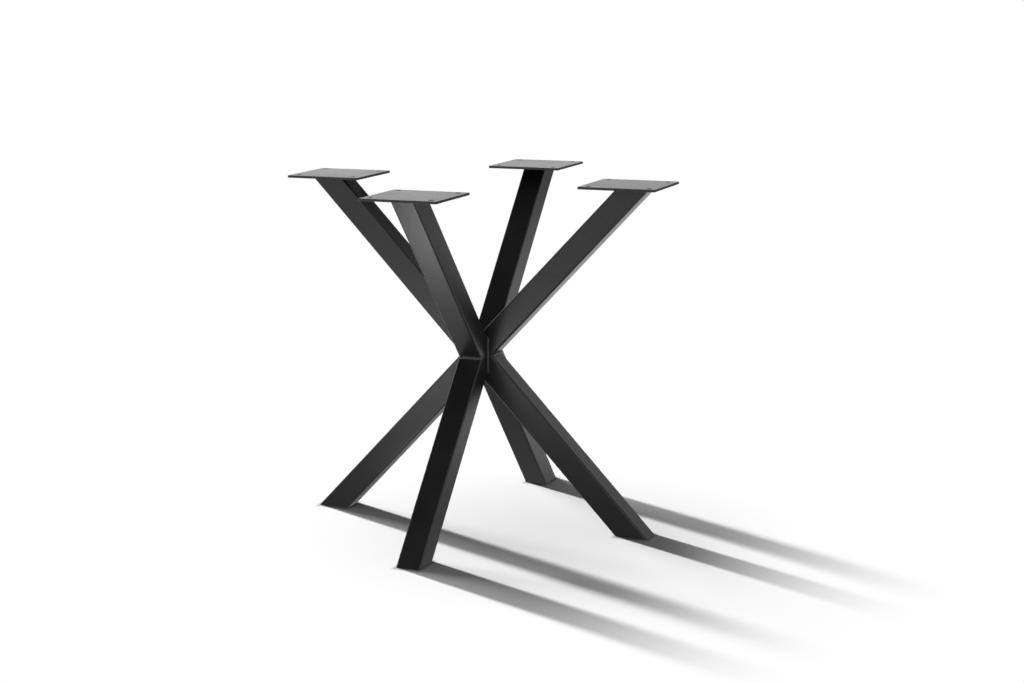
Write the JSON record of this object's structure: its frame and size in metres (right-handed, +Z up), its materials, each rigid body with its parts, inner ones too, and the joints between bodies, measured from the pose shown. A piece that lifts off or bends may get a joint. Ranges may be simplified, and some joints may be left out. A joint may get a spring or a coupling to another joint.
{
  "type": "spider table base",
  "caption": "Welded spider table base: square steel tubes cross at the waist and splay to level feet below and drilled square mounting plates above.",
  "frame": {"origin": "on the floor, midway between the feet, on the axis of the base", "axes": "+Z up; X along the crossed pair, with the left arm at -X and the right arm at +X; Y along the bent arms, with the front arm at -Y and the back arm at +Y"},
  "size_m": [0.8, 0.8, 0.72],
  "materials": {
    "tube": "satin black powder coat on drawn steel tube",
    "plate": "satin black powder coat on cut steel plate",
    "foot": "satin black powder coat on the steel plate under each foot",
    "weld": "satin black powder coat over a rippled weld bead"
  },
  "bodies": {
    "root": {"cross_tube": "tube", "right_upper_tube": "tube", "left_lower_tube": "tube", "front_upper_tube": "tube", "front_lower_tube": "tube", "back_upper_tube": "tube", "back_lower_tube": "tube", "left_mounting_plate": "plate", "right_mounting_plate": "plate", "front_mounting_plate": "plate", "back_mounting_plate": "plate", "left_foot_plate": "foot", "right_foot_plate": "foot", "front_foot_plate": "foot", "back_foot_plate": "foot", "left_plate_weld": "weld", "right_plate_weld": "weld", "front_plate_weld": "weld", "back_plate_weld": "weld", "right_notch_weld": "weld", "left_notch_weld": "weld", "top_notch_weld": "weld", "bottom_notch_weld": "weld", "front_waist_weld": "weld", "back_waist_weld": "weld", "front_frame_weld": "weld", "back_frame_weld": "weld"}
  },
  "joints": []
}
